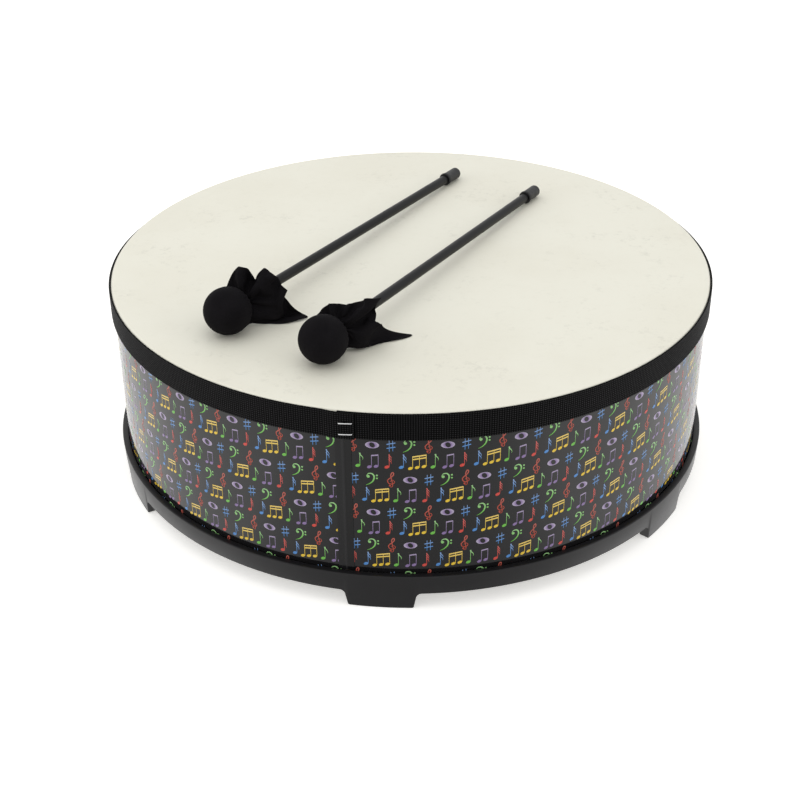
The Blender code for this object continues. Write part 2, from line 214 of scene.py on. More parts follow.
def fillet(before, corner, after, radius, steps=5):
    # a round of the given radius in the corner of a flat outline
    corner = Vector(corner)
    toBefore = (Vector(before) - corner).normalized()
    toAfter = (Vector(after) - corner).normalized()
    half = toBefore.angle(toAfter) / 2
    centre = corner + (toBefore + toAfter).normalized() * (radius / math.sin(half))
    first = corner + toBefore * (radius / math.tan(half)) - centre
    last = corner + toAfter * (radius / math.tan(half)) - centre
    shares = spread(0, 1, steps)
    return [tuple(centre + first.slerp(last, share).normalized() * radius) for share in shares]


def settle(piece):
    # the result of a piece's modifiers as a plain mesh
    graph = bpy.context.evaluated_depsgraph_get()
    mesh = bpy.data.meshes.new_from_object(piece.evaluated_get(graph), depsgraph=graph)
    bpy.data.objects.remove(piece)
    return mesh


def nodeTree(name, sizes):
    # a geometry tree with named inputs, as wires by name
    tree = bpy.data.node_groups.new(name, "GeometryNodeTree")
    tree.interface.new_socket("Geometry", in_out="OUTPUT", socket_type="NodeSocketGeometry")
    for key, value in sizes.items():
        kind = "NodeSocketInt" if isinstance(value, int) else "NodeSocketFloat"
        tree.interface.new_socket(key, in_out="INPUT", socket_type=kind)
    entry = tree.nodes.new("NodeGroupInput")
    return tree, {key: Wire(tree, entry.outputs[key]) for key in sizes}


def grow(tree, sizes, geometry, material):
    # ends the tree, runs it with its sizes and gives the mesh
    real = geometry.node("GeometryNodeRealizeInstances", None, {0: geometry})
    painted = real.node("GeometryNodeSetMaterial", None, {"Geometry": real, "Material": material})
    tree.links.new(painted.socket, tree.nodes.new("NodeGroupOutput").inputs[0])
    host = bpy.data.objects.new("host", bpy.data.meshes.new("host"))
    scene.collection.objects.link(host)
    modifier = host.modifiers.new("tree", "NODES")
    modifier.node_group = tree
    for item in tree.interface.items_tree:
        if item.in_out == "INPUT":
            modifier[item.identifier] = sizes[item.name]
    return settle(host)


def gridPlaces(rows):
    # column and row of each copy in a grid that fills its columns one by one
    index = rows.node("GeometryNodeInputIndex")
    return (index / rows).of("FLOOR"), index % rows


def scatter(count, spot, piece):
    # a copy of the piece at each spot
    points = count.node("GeometryNodePoints", None, {"Count": count, "Position": spot})
    values = {"Object": piece, "As Instance": True}
    copied = count.node("GeometryNodeObjectInfo", None, values, out="Geometry")
    return count.node("GeometryNodeInstanceOnPoints", None, {"Points": points, "Instance": copied})


def bendRound(geometry, radius, startAngle, climb=None, drop=None):
    # lays flat geometry round the drum: x along, y up and z out
    along, up, out = geometry.node("GeometryNodeInputPosition").axes()
    reach = radius + out
    if climb:
        reach = reach + climb(along)
    turn = along / radius + startAngle
    front = turn.of("COSINE")           # 1 at the front of the drum, -1 at its back
    if drop:
        up = up - drop(front)
    bent = geometry.join(reach * turn.of("SINE"), reach * front * -1.0, up)
    real = geometry.node("GeometryNodeRealizeInstances", None, {0: geometry})
    return real.node("GeometryNodeSetPosition", None, {"Geometry": real, "Position": bent})


# camera: solved from the head's rim, the ring with its feet and the mallets in the photograph
view = {
    "lens": 64.56, "sensor": 36.0, "elevation": 30.88, "roll": -0.50,
    "place": (-0.01107, -1.2291, 0.7710),
}


def makeCamera():
    camera = bpy.data.objects.new("camera", bpy.data.cameras.new("camera"))
    camera.data.lens = view["lens"]
    camera.data.sensor_width = view["sensor"]
    camera.data.sensor_fit = "AUTO"
    tip = Matrix.Rotation(math.radians(90 - view["elevation"]), 4, "X")
    roll = Matrix.Rotation(math.radians(view["roll"]), 4, "Z")
    camera.matrix_world = Matrix.Translation(view["place"]) @ tip @ roll
    scene.collection.objects.link(camera)
    scene.camera = camera
    print("camera set")


# light and the white surroundings
studio = {
    "ambient": 0.80, "white": 1.0, "aim": (0, 0, 0.1),
    "floorSize": 30.0, "floorGlow": (0.50, 0.495, 0.48), "floorTone": (0.88, 0.875, 0.86), "floorCloud": 0.99,
    # glow that the gloss sees, from straight before the drum to its sides and back
    "mirrored": [(0.005, (0.09, 0.09, 0.09)), (0.11, (0.92, 0.915, 0.91)), (0.26, (0.80, 0.795, 0.79)),
                 (0.43, (0.72, 0.715, 0.71)), (0.60, (0.46, 0.455, 0.45))],
}
# as (place, size, power)
lamps = {
    "softbox_above": ((-0.45, -0.05, 2.0), 2.2, 7.0),
    "softbox_left": ((-1.7, -0.75, 0.85), 1.2, 5.0),
    "softbox_right": ((1.7, -0.75, 0.85), 1.2, 5.0),
}


def seenRays(tree):
    # 1 for what the camera, a mirror or glass sees, 0 for light that falls on the object
    path = Wire(tree, tree.nodes.new("ShaderNodeLightPath").outputs["Is Camera Ray"])
    seen = path + path.other("Is Glossy Ray") + path.other("Is Transmission Ray")
    return seen.sum("MINIMUM", seen, 1.0)


def makeStudio():
    world = bpy.data.worlds.new("studio")
    world.use_nodes = True
    scene.world = world
    tree = world.node_tree
    sky = tree.nodes["Background"]
    sky.inputs["Color"].default_value = (1, 1, 1, 1)
    strength = seenRays(tree) * (studio["white"] - studio["ambient"]) + studio["ambient"]
    tree.links.new(strength.socket, sky.inputs["Strength"])

    for name, (spot, size, power) in lamps.items():
        lamp = bpy.data.lights.new(name, "AREA")
        lamp.shape = "SQUARE"
        lamp.size = size
        lamp.energy = power
        holder = bpy.data.objects.new(name, lamp)
        holder.location = spot
        toDrum = Vector(studio["aim"]) - holder.location
        holder.rotation_euler = toDrum.to_track_quat("-Z", "Y").to_euler()
        holder.visible_glossy = False
        scene.collection.objects.link(holder)

    tone, place, feed = surface("pale_floor", Roughness=0.9, Specular_IOR_Level=0.0, Emission_Strength=1.0)
    # the gloss sees less light from the floor before the drum, where the camera stands
    x, y, _ = place.axes()
    apart = (x * x + y * y).of("SQRT")
    mirrored = x.node("ShaderNodeValToRGB", {"stops": studio["mirrored"]}, {"Fac": y / apart * 0.5 + 0.5})
    glossy = Wire(tone.node_tree, tone.node_tree.nodes.new("ShaderNodeLightPath").outputs["Is Glossy Ray"])
    glow = seenRays(tone.node_tree).between((0, 0, 0), studio["floorGlow"])
    clouded = [studio["floorCloud"] * part for part in studio["floorTone"]]
    feed(Base_Color=place.noise(3.0).between(studio["floorTone"], clouded),
         Emission_Color=glossy.between(glow, mirrored))
    half = studio["floorSize"] / 2
    floor = bpy.data.objects.new("floor", meshFrom([[(-half, -half, 0), (half, -half, 0)],
                                                    [(-half, half, 0), (half, half, 0)]], tone))
    scene.collection.objects.link(floor)
    scene.view_settings.view_transform = "Standard"
    print("studio lit")


# sizes that the pieces share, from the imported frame
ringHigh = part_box("foot_ring")[1]
shellLow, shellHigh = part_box("drum_shell")
wrapLow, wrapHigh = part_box("printed_wrap")
stripLow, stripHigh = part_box("seam_strip")
headLow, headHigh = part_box("drum_head")
bandLow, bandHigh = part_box("webbing_band")
ringRadius = ringHigh.x
shellRadius = shellHigh.x
wrapRadius = wrapHigh.x
headRadius = headHigh.x
bandRadius = bandHigh.x
bandBottom = bandLow.z
bandTop = bandHigh.z
headTop = headHigh.z
seamAngle = -11.55
jointAngle = -11.0
roundSteps = 384
clearance = 0.3 * mm    # between pieces that touch or are glued in the real drum
lead = 5 * mm           # from a corner to the points that only give its fillet a direction


# foot ring: satin black moulding
footRing = {
    "feet": 6, "frontFoot": -5.8, "footHeight": 15.7 * mm, "footWidth": 56 * mm, "footFlare": 3 * mm,
    "footFillet": 5 * mm, "footCorner": 2 * mm, "footDepth": 9 * mm, "draft": 1.9 * mm,
    "shelfLow": 18.2 * mm, "shelfTop": 22.2 * mm, "shelfInner": 264 * mm, "lipInner": 278.2 * mm,
    "edge": 0.9 * mm, "innerEdge": 0.54 * mm, "lipEdge": 0.45 * mm, "bevel": 1.0 * mm,
    "dark": (0.008, 0.0076, 0.0084), "worn": (0.014, 0.0136, 0.0148), "gloss": (0.34, 0.46),
}


def ringPlastic():
    material, place, feed = surface("satin_black_plastic", Specular_IOR_Level=0.275)
    cloud = place.noise(35.0, 3.0)
    grain = place.noise(2200.0, 2.0)
    scuff = place.mapped(scale=(1, 1, 5)).noise(260.0, 4.0, 0.65).ease(0.58, 0.75)
    feed(Base_Color=(cloud * 0.6 + scuff * 0.4).between(footRing["dark"], footRing["worn"]),
         Roughness=(cloud * 0.7 + scuff * 0.3).ease(0.2, 0.8, *footRing["gloss"]),
         Normal=(grain + scuff * 0.3).bump(0.12, 0.0002))
    return material


def archOutline():
    # underside between two feet as (place along the ring, height)
    high = footRing["footHeight"]
    half = math.pi * ringRadius / footRing["feet"] - footRing["footWidth"] / 2
    foot = (-half, 0)
    sideTop = (-half + footRing["footFlare"], high)
    side = fillet((-half - lead, 0), foot, sideTop, footRing["footCorner"], 6)
    side += fillet(foot, sideTop, (0, high), footRing["footFillet"], 8)
    crown = [(along, high) for along in spread(side[-1][0], -side[-1][0], 36)[1:-1]]
    return side + crown + [(-along, height) for along, height in reversed(side)]


def ringSection(height):
    # the ring's section where its underside is at this height
    top = ringHigh.z
    inner = ringRadius - footRing["draft"] - footRing["footDepth"]
    lipInner = footRing["lipInner"]
    shelfInner = footRing["shelfInner"]
    shelfLow = footRing["shelfLow"]
    shelfTop = footRing["shelfTop"]

    def outer(level):
        return ringRadius - footRing["draft"] * (1 - level / (top - footRing["bevel"]))

    corner = (outer(height), height)
    low = fillet((outer(height + lead), height + lead), corner, (inner, height), footRing["edge"], 3)
    low += fillet(corner, (inner, height), (inner, shelfLow), footRing["innerEdge"], 2)
    lip = fillet((lipInner, top - lead), (lipInner, top), (ringRadius, top), footRing["lipEdge"], 3)
    lip += fillet((lipInner, top), (ringRadius, top), (ringRadius, top - lead), footRing["bevel"], 4)
    shelf = [(inner, shelfLow), (shelfInner, shelfLow), (shelfInner, shelfTop), (lipInner, shelfTop)]
    return lip + low + shelf


def makeFootRing():
    rows = []
    feet = footRing["feet"]
    arch = archOutline()
    soleEnd = math.tau * ringRadius / feet + arch[0][0]
    sole = [(along, 0) for along in spread(arch[-1][0], soleEnd, 10)]
    for foot in range(feet):
        middle = footRing["frontFoot"] + 360 / feet * (foot + 0.5)
        for along, height in arch + sole[1:-1]:
            angle = middle + math.degrees(along / ringRadius)
            rows.append([roundDrum(angle, *point) for point in ringSection(height)])
    mesh = meshFrom(rows, ringPlastic(), True, True)
    addPiece("ring_with_feet", "stand", mesh, ["foot_ring"], 50)
    print("foot ring made")


# shell, wrap and the strip over the wrap's joint
shellLook = {
    "wall": 7 * mm, "round": 2 * mm, "bevel": 3.5 * mm,
    "pale": (0.34, 0.25, 0.16), "deep": (0.22, 0.155, 0.095), "gloss": (0.62, 0.85),
}
filmLook = {
    "butt": 2 * mm, "tone": (0.0055, 0.0052, 0.0058), "tint": (0.008, 0.0076, 0.0084), "gloss": (0.05, 0.10),
}
seamLook = {
    "from": -7.2 * mm, "to": 6.2 * mm, "steps": 48, "thickness": 0.4 * mm,
    "ridge": 0.16 * mm, "ridgePlace": -0.6 * mm, "ridgeWidth": 1.3 * mm, "gloss": (0.10, 0.18),
    # left and right: the strip's tone, with painted shade right of the ridge; line: the painted highlight
    # along the ridge
    "left": (0.0062, 0.006, 0.0066), "right": (0.003, 0.0029, 0.0032), "line": (0.012, 0.0115, 0.0125),
}


def fibreboard():
    material, place, feed = surface("shell_fibreboard")
    fibre = place.mapped(scale=(1, 1, 6)).noise(180.0, 5.0, 0.7)
    ply = place.noise(22.0, 3.0)
    feed(Base_Color=(fibre * 0.65 + ply * 0.35).ease(0.3, 0.7).between(shellLook["deep"], shellLook["pale"]),
         Roughness=fibre.ease(0.2, 0.8, *shellLook["gloss"]), Normal=fibre.bump(0.35, 0.0004))
    return material


def glossFilm():
    material, place, feed = surface("dark_gloss_film", IOR=1.5, Specular_IOR_Level=0.33)
    cloud = place.noise(14.0, 2.0)
    peel = place.noise(240.0, 1.0)
    feed(Base_Color=cloud.between(filmLook["tone"], filmLook["tint"]),
         Roughness=(cloud * 0.5 + peel * 0.5).ease(0.3, 0.7, *filmLook["gloss"]),
         Normal=peel.bump(0.05, 0.0002))
    return material


def seamFilm():
    # plain strip: a painted highlight along the ridge where the wrap's joint lifts it, and painted shade to
    # the right of that
    material, place, feed = surface("plain_dark_film", IOR=1.5, Specular_IOR_Level=0.28)
    x, y, _ = place.axes()
    across = (x.sum("ARCTAN2", x, y * -1.0) - math.radians(seamAngle)) * wrapRadius
    off = (across - seamLook["ridgePlace"]) / seamLook["ridgeWidth"]
    # painted highlight along the ridge
    line = 1.0 - off.of("ABSOLUTE").ease(0.2, 1.1)
    # painted shade on the side right of the ridge
    side = off.ease(-0.5, 0.5)
    peel = place.noise(240.0, 1.0)
    tone = side.between(seamLook["left"], seamLook["right"])
    feed(Base_Color=(line * (0.6 + peel * 0.8)).between(tone, seamLook["line"]),
         Roughness=peel.ease(0.3, 0.7, *seamLook["gloss"]), Normal=peel.bump(0.08, 0.0002))
    return material


def makeShell():
    inner = shellRadius - shellLook["wall"]
    top = shellHigh.z
    edge = fillet((shellRadius, shellLow.z), (shellRadius, top), (inner, top), shellLook["round"], 6)
    outline = [(inner, top - shellLook["bevel"]), (inner, shellLow.z), (shellRadius, shellLow.z), *edge,
               (inner + shellLook["bevel"], top)]
    addPiece("round_shell", "drum", lathe(outline, roundSteps, fibreboard()), ["drum_shell"])
    print("shell made")


def makeWrap():
    inner = shellRadius + clearance
    half = math.degrees(filmLook["butt"] / 2 / wrapRadius)
    angles = spread(seamAngle + half, seamAngle + 360 - half, 2 * roundSteps)
    rows = [sheetRow(angle, inner, wrapRadius, wrapLow.z, wrapHigh.z) for angle in angles]
    addPiece("wrap", "drum", meshFrom(rows, glossFilm(), closedColumns=True), ["printed_wrap"])
    print("wrap made")


def makeStrip():
    inner = wrapRadius + clearance
    rows = []
    for along in spread(seamLook["from"], seamLook["to"], seamLook["steps"]):
        away = (along - seamLook["ridgePlace"]) / seamLook["ridgeWidth"]
        rise = seamLook["ridge"] * math.exp(-away ** 2)
        outer = inner + seamLook["thickness"] + rise - seamLook["ridge"]
        angle = seamAngle + math.degrees(along / inner)
        rows.append(sheetRow(angle, inner, outer, stripLow.z, stripHigh.z))
    mesh = meshFrom(rows, seamFilm(), closedColumns=True)
    addPiece("joint_strip", "drum", mesh, ["seam_strip"])
    print("joint strip made")


# print on the wrap: standard music signs in bright inks, a half-drop repeat; signs are drawn in mm
signPrint = {
    "repeats": 29, "rows": 5, "rowPitch": 32.4 * mm, "lowestRow": 30.2 * mm, "noteRise": 17.4 * mm,
    "signHeight": 14, "lift": 0.09 * mm, "gloss": 0.12, "depth": 0.92, "palest": 0.85,
}
inks = {
    "red": (0.64, 0.065, 0.048), "orange": (0.44, 0.060, 0.032), "yellow": (0.82, 0.56, 0.040),
    "purple": (0.25, 0.165, 0.36), "green": (0.15, 0.50, 0.060), "blue": (0.070, 0.25, 0.60),
}
inkFade = {"red": 0.12, "orange": 0.08, "yellow": 0.2, "purple": 0.3, "green": 0.34, "blue": 0.3}


def paleness(up):
    # kept as the Z of a sign's points while it is drawn: 0 at its foot, 1 at its top
    return up / signPrint["signHeight"] + 0.5


def ellipse(x, y, long, short, tilt=0.0, steps=12, start=0.0):
    # points of a tilted ellipse, from the angle start on
    turn = math.radians(tilt)
    points = []
    for step in range(steps):
        a = math.tau * step / steps + start
        u = long * math.cos(a)
        v = short * math.sin(a)
        points.append((x + u * math.cos(turn) - v * math.sin(turn),
                       y + u * math.sin(turn) + v * math.cos(turn)))
    return points


def drawBlob(bm, *shape):
    bm.faces.new([bm.verts.new((x, y, paleness(y))) for x, y in ellipse(*shape)])


def drawStroke(bm, points, widths):
    # a ribbon through the points
    line = [Vector(point) for point in points]
    sides = []
    for k, point in enumerate(line):
        ahead = (line[min(k + 1, len(line) - 1)] - line[max(k - 1, 0)]).normalized()
        offset = Vector((-ahead.y, ahead.x)) * widths[k] / 2
        sides.append([bm.verts.new((*spot, paleness(spot.y))) for spot in (point - offset, point + offset)])
    for near, far in zip(sides, sides[1:]):
        bm.faces.new((near[0], far[0], far[1], near[1]))


def smoothLine(points, steps):
    # a curve through the points, with a few steps between each two
    line = [Vector(point) for point in points]
    line = [2 * line[0] - line[1]] + line + [2 * line[-1] - line[-2]]
    curve = []
    for a, b, c, d in zip(line, line[1:], line[2:], line[3:]):
        for step in range(steps):
            t = step / steps
            curve.append((2 * b + (c - a) * t + (2 * a - 5 * b + 4 * c - d) * t ** 2
                          + (3 * b - a - 3 * c + d) * t ** 3) / 2)
    return curve + [line[-2]]


def drawFlag(bm, x, top, size):
    curl = [(x, top), (x + 0.55 * size, top - 1.9 * size), (x + 2.0 * size, top - 3.3 * size),
            (x + 2.7 * size, top - 5.0 * size), (x + 2.2 * size, top - 6.4 * size)]
    drawStroke(bm, curl, [1.3 * size, 0.95 * size, 0.7 * size, 0.45 * size, 0.12])


def drawNote(bm, flags, size, spacing):
    drawBlob(bm, -1.6, -5.2, 2.1, 1.4, 24)
    drawStroke(bm, [(0.2, -4.7), (0.2, 6.9)], [0.45, 0.45])
    for flag in range(flags):
        drawFlag(bm, 0.1, 6.9 - spacing * flag, size)


def drawBeamed(bm, count, beams):
    pitch = 5.4
    slope = 0.16
    for k in range(count):
        x = (k - (count - 1) / 2) * pitch
        drawBlob(bm, x - 1.6, -5.4 + slope * x, 2.0, 1.35, 24)
        drawStroke(bm, [(x + 0.2, -5.0 + slope * x), (x + 0.2, 5.6 + slope * x)], [0.42, 0.42])
    reach = (count - 1) / 2 * pitch
    for beam in range(beams):
        rise = 5.4 - 2.5 * beam
        drawStroke(bm, [(-reach, rise - slope * reach), (reach + 0.4, rise + slope * reach)], [1.2, 1.2])


def drawSharp(bm):
    for x in (-1.4, 1.4):
        drawStroke(bm, [(x, -5.4 + 0.2 * x), (x, 5.0 + 0.2 * x)], [0.45, 0.45])
    for y in (-1.9, 1.9):
        drawStroke(bm, [(-3.5, y - 0.75), (3.5, y + 0.75)], [0.9, 0.9])


def drawWhole(bm):
    # pale at the rim, with a leaning hole
    lean = -52
    steps = 20
    rimPaleness = 1.6
    rim = [bm.verts.new((x, y, rimPaleness)) for x, y in ellipse(0, 0, 5.6, 3.1, 0, steps)]
    hole = [bm.verts.new((x, y, 0)) for x, y in ellipse(0, 0, 2.6, 2.0, lean, steps, -math.radians(lean))]
    for k in range(steps):
        bm.faces.new((rim[k - 1], rim[k], hole[k], hole[k - 1]))


def swelling(line, thin, swell):
    # widths of a stroke that is thin at its ends
    return [thin + swell * math.sin(math.pi * k / (len(line) - 1)) for k in range(len(line))]


def drawBass(bm):
    drawBlob(bm, -2.4, 2.3, 1.3, 1.3)
    arc = smoothLine([(-3.8, 2.6), (-2.4, 5.0), (0.6, 5.2), (2.4, 2.6), (1.6, -1.4), (-1.2, -4.4),
                      (-4.4, -6.0)], 3)
    drawStroke(bm, arc, swelling(arc, 0.3, 1.0))
    for y in (0.9, 3.7):
        drawBlob(bm, 4.6, y, 0.85, 0.85, 0, 8)


def drawTreble(bm):
    path = smoothLine([(-1.6, -5.6), (-0.6, -7.0), (0.9, -6.2), (0.7, -2.5), (-0.5, 3.4), (0.2, 6.4),
                       (1.5, 7.0), (1.7, 4.6), (-0.8, 1.9), (-3.1, -0.6), (-2.0, -3.6), (1.2, -3.9),
                       (2.6, -1.9), (0.9, -0.2), (-1.0, -1.7)], 2)
    drawStroke(bm, path, swelling(path, 0.4, 0.55))
    drawBlob(bm, -1.3, -5.5, 0.9, 0.9, 0, 8)


# each ink's signs: how one is drawn, its place in the repeat from 0 to 1,
# and 1 for a note row or 0 for a sign row
signs = {
    "red": [(lambda bm: drawNote(bm, 3, 0.72, 2.3), 0.10, 1)],
    "yellow": [(lambda bm: drawBeamed(bm, 3, 2), 0.50, 1)],
    "purple": [(lambda bm: drawBeamed(bm, 2, 1), 0.91, 1), (drawWhole, 0.38, 0)],
    "green": [(lambda bm: drawNote(bm, 1, 1.0, 0.0), 0.71, 1), (drawBass, 0.86, 0)],
    "blue": [(lambda bm: drawNote(bm, 2, 0.85, 2.8), 0.29, 1), (drawSharp, 0.63, 0)],
    "orange": [(drawTreble, 0.13, 0)],
}


def signInk(name, tone):
    # each sign is full at its foot and paler at its top
    material, place, feed = surface("ink_" + name, IOR=1.5, Roughness=signPrint["gloss"],
                                    Specular_IOR_Level=0.3)
    rise = place.node("ShaderNodeAttribute", {"attribute_name": "pale"}, out="Fac")
    shade = (rise * 0.9 + place.noise(420.0, 2.0) * 0.3).ease(0.1, 1.5)
    full = [signPrint["depth"] * part for part in tone]
    pale = [part + (signPrint["palest"] - part) * inkFade[name] for part in tone]
    feed(Base_Color=shade.between(full, pale))
    return material


def signObject(name, draw):
    # one flat sign, its paleness kept as an attribute
    bm = bmesh.new()
    draw(bm)
    pales = [vert.co.z for vert in bm.verts]
    bmesh.ops.scale(bm, vec=(mm, mm, 0), verts=bm.verts)
    mesh = bpy.data.meshes.new(name)
    bm.to_mesh(mesh)
    bm.free()
    mesh.attributes.new("pale", "FLOAT", "POINT").data.foreach_set("value", pales)
    return bpy.data.objects.new(name, mesh)


def makePrint():
    length = math.tau * wrapRadius - filmLook["butt"]
    sizes = {
        "Repeats": signPrint["repeats"], "Rows": signPrint["rows"], "Period": length / signPrint["repeats"],
        "Row Pitch": signPrint["rowPitch"], "Lowest Row": signPrint["lowestRow"], "Lift": signPrint["lift"],
        "Note Rise": signPrint["noteRise"], "Radius": wrapRadius, "Start Angle": math.radians(seamAngle),
    }
    faces = 0
    for ink, drawings in signs.items():
        tree, wire = nodeTree("print_" + ink, sizes)
        layers = []
        for k, (draw, place, kind) in enumerate(drawings):
            sign = signObject("sign_%s_%d" % (ink, k), draw)
            column, row = gridPlaces(wire["Rows"])
            shift = column + (row % 2) * 0.5 + place
            along = (shift % wire["Repeats"]) * wire["Period"]
            up = wire["Lowest Row"] + row * wire["Row Pitch"] + wire["Note Rise"] * kind
            spot = row.join(along, up, wire["Lift"])
            layers.append(scatter(wire["Repeats"] * wire["Rows"], spot, sign))
        joined = layers[0].node("GeometryNodeJoinGeometry", None, {0: layers})
        bent = bendRound(joined, wire["Radius"], wire["Start Angle"])
        mesh = grow(tree, sizes, bent, signInk(ink, inks[ink]))
        faces += len(mesh.polygons)
        addPiece("printed_signs_" + ink, "drum", mesh)
    print("print made,", faces, "faces")


# head: ivory film with faint fibre marks
headLook = {
    "thickness": 0.5 * mm, "bend": 2.5 * mm,
    "rings": (0, 60 * mm, 140 * mm, 210 * mm, 255 * mm),    # radii of its edges across the top
    "pale": (0.825, 0.81, 0.705), "warm": (0.80, 0.78, 0.672), "fleck": (0.52, 0.51, 0.44),
    "gloss": (0.52, 0.66),
}


def ivoryFilm():
    material, place, feed = surface("ivory_film")
    cloud = place.noise(7.0, 4.0, 0.6)
    patch = place.noise(16.0, 4.0, 0.62).ease(0.48, 0.68)
    fibre = place.noise(150.0, 4.0, 0.65).ease(0.50, 0.72)
    speck = place.noise(420.0, 2.0, 0.6).ease(0.55, 0.75)
    marks = patch * (fibre * 0.28 + speck * 0.12) + fibre * 0.03
    base = cloud.ease(0.35, 0.65).between(headLook["pale"], headLook["warm"])
    feed(Base_Color=marks.between(base, headLook["fleck"]),
         Roughness=(fibre * 0.5 + cloud * 0.5).ease(0.2, 0.8, *headLook["gloss"]),
         Normal=(place.noise(700.0, 3.0) * 0.6 + fibre * 0.4).bump(0.10, 0.0002))
    return material


def makeHead():
    thickness = headLook["thickness"]
    bend = headLook["bend"]
    hem = headLow.z
    inner = headRadius - thickness
    below = headTop - thickness
    outline = [(radius, headTop) for radius in headLook["rings"]]
    outline += fillet((0, headTop), (headRadius, headTop), (headRadius, hem), bend, 8)
    outline += [(headRadius, hem), (inner, hem)]
    outline += fillet((inner, hem), (inner, below), (0, below), bend - thickness, 5)
    outline += [(radius, below) for radius in reversed(headLook["rings"])]
    addPiece("film_head", "drum", lathe(outline, roundSteps, ivoryFilm(), False), ["drum_head"])
    print("head made")


# webbing band: a strip with woven knobs, lapped at the front
webbing = {
    "thickness": 1.7 * mm, "lap": 14 * mm, "ramp": 16 * mm, "columns": 900,
    "knobAlong": 2.0 * mm, "knobUp": 1.85 * mm, "knobHeight": 0.5 * mm,
    # it sits lower at the back: dropFrom and dropFull are cosines of the angle from the front
    "backDrop": 2.5 * mm, "dropFrom": 0.1, "dropFull": -0.45,
    # light: the painted highlight at each knob's crown
    "dark": (0.0003, 0.0003, 0.0003), "light": (0.040, 0.037, 0.042), "gloss": (0.5, 0.75),
}


def blackWebbing():
    # each knob is palest at its crown: a painted highlight on the top of each yarn
    material, place, feed = surface("black_webbing", Specular_IOR_Level=0.02, Sheen_Weight=0.12,
                                    Sheen_Roughness=0.4, Coat_Roughness=0.35)
    crown = place.node("ShaderNodeAttribute", {"attribute_name": "crown"}, out="Fac")
    yarn = place.noise(1500.0, 3.0, 0.6)
    patch = place.noise(60.0, 3.0)
    # painted highlight: the crown lightens the base colour towards light
    shade = crown * crown * crown * (yarn * 0.8 + patch * 0.7)
    feed(Base_Color=shade.between(webbing["dark"], webbing["light"]),
         Roughness=yarn.ease(0.25, 0.75, *webbing["gloss"]), Coat_Weight=crown * crown * 0.4,
         Normal=yarn.bump(0.4, 0.0002))
    return material


def knobObject():
    # one raised yarn of the weave, its rim on the strip
    half = webbing["knobAlong"] * 0.5
    rise = webbing["knobUp"] * 0.5
    rim = [(-half, -rise, 0), (half, -rise, 0), (half, rise, 0), (-half, rise, 0)]
    mesh = bpy.data.meshes.new("knob")
    mesh.from_pydata(rim + [(0, 0, webbing["knobHeight"])], [], [(0, 1, 4), (1, 2, 4), (2, 3, 4), (3, 0, 4)])
    # crown marks each knob's top, where the highlight is painted
    mesh.attributes.new("crown", "FLOAT", "POINT").data[4].value = 1.0
    return bpy.data.objects.new("knob", mesh)


def makeBand():
    base = bandRadius - webbing["thickness"]
    width = bandTop - bandBottom
    length = math.tau * base + webbing["lap"]
    rows = round(width / webbing["knobUp"])
    sizes = {
        "Length": length, "Width": width, "Body": webbing["thickness"] - webbing["knobHeight"],
        "Columns": webbing["columns"], "Knob Columns": round(length / webbing["knobAlong"]),
        "Knob Rows": rows, "Knob Along": webbing["knobAlong"], "Knob Up": width / rows, "Bottom": bandBottom,
        "Radius": base, "Start Angle": math.radians(jointAngle) - webbing["lap"] / 2 / base,
        "Ramp Start": length - webbing["lap"] - webbing["ramp"], "Ramp": webbing["ramp"],
        "Climb": webbing["thickness"] + clearance, "Back Drop": webbing["backDrop"],
    }
    tree, wire = nodeTree("webbing_weave", sizes)
    body = wire["Body"]
    strip = body.node("GeometryNodeMeshCube", None, {
        "Size": body.join(wire["Length"], wire["Width"], body), "Vertices X": wire["Columns"],
        "Vertices Y": 2, "Vertices Z": 2})
    middle = body.join(wire["Length"] / 2, wire["Width"] / 2 + wire["Bottom"], body / 2)
    strip = strip.node("GeometryNodeTransform", None, {"Geometry": strip, "Translation": middle})
    column, row = gridPlaces(wire["Knob Rows"])
    along = (column + 0.5) * wire["Knob Along"]
    up = wire["Bottom"] + (row + 0.5) * wire["Knob Up"]
    knobs = scatter(wire["Knob Columns"] * wire["Knob Rows"], body.join(along, up, body), knobObject())
    joined = strip.node("GeometryNodeJoinGeometry", None, {0: [strip, knobs]})

    def climb(place):
        return ((place - wire["Ramp Start"]) / wire["Ramp"]).ease(0.0, 1.0) * wire["Climb"]

    def drop(front):
        return front.ease(webbing["dropFrom"], webbing["dropFull"]) * wire["Back Drop"]

    bent = bendRound(joined, wire["Radius"], wire["Start Angle"], climb, drop)
    mesh = grow(tree, sizes, bent, blackWebbing())
    addPiece("woven_band", "drum", mesh, ["webbing_band"], 80)
    print("band made,", len(mesh.polygons), "faces")


# staples through the band's lap
staple = {
    "crown": 11.4 * mm, "leg": 10 * mm, "width": 1.0 * mm, "depth": 0.6 * mm, "bend": 0.7 * mm,
    # height on the band and slant of each
    "places": {"staple_upper": (15.1 * mm, 4.3), "staple_lower": (5.0 * mm, 4.8)},
    "dark": (0.50, 0.50, 0.51), "light": (0.72, 0.72, 0.73), "gloss": (0.28, 0.46),
}


def brightWire():
    material, place, feed = surface("bright_wire", Metallic=1.0)
    drawn = place.mapped(scale=(1, 1, 14)).noise(900.0, 3.0, 0.6)
    feed(Base_Color=drawn.between(staple["dark"], staple["light"]),
         Roughness=drawn.ease(0.2, 0.8, *staple["gloss"]), Normal=drawn.bump(0.15, 0.0001))
    return material


def squared(value):
    # brings a circle's sine or cosine nearer to a square's
    return math.copysign(abs(value) ** 0.5, value)


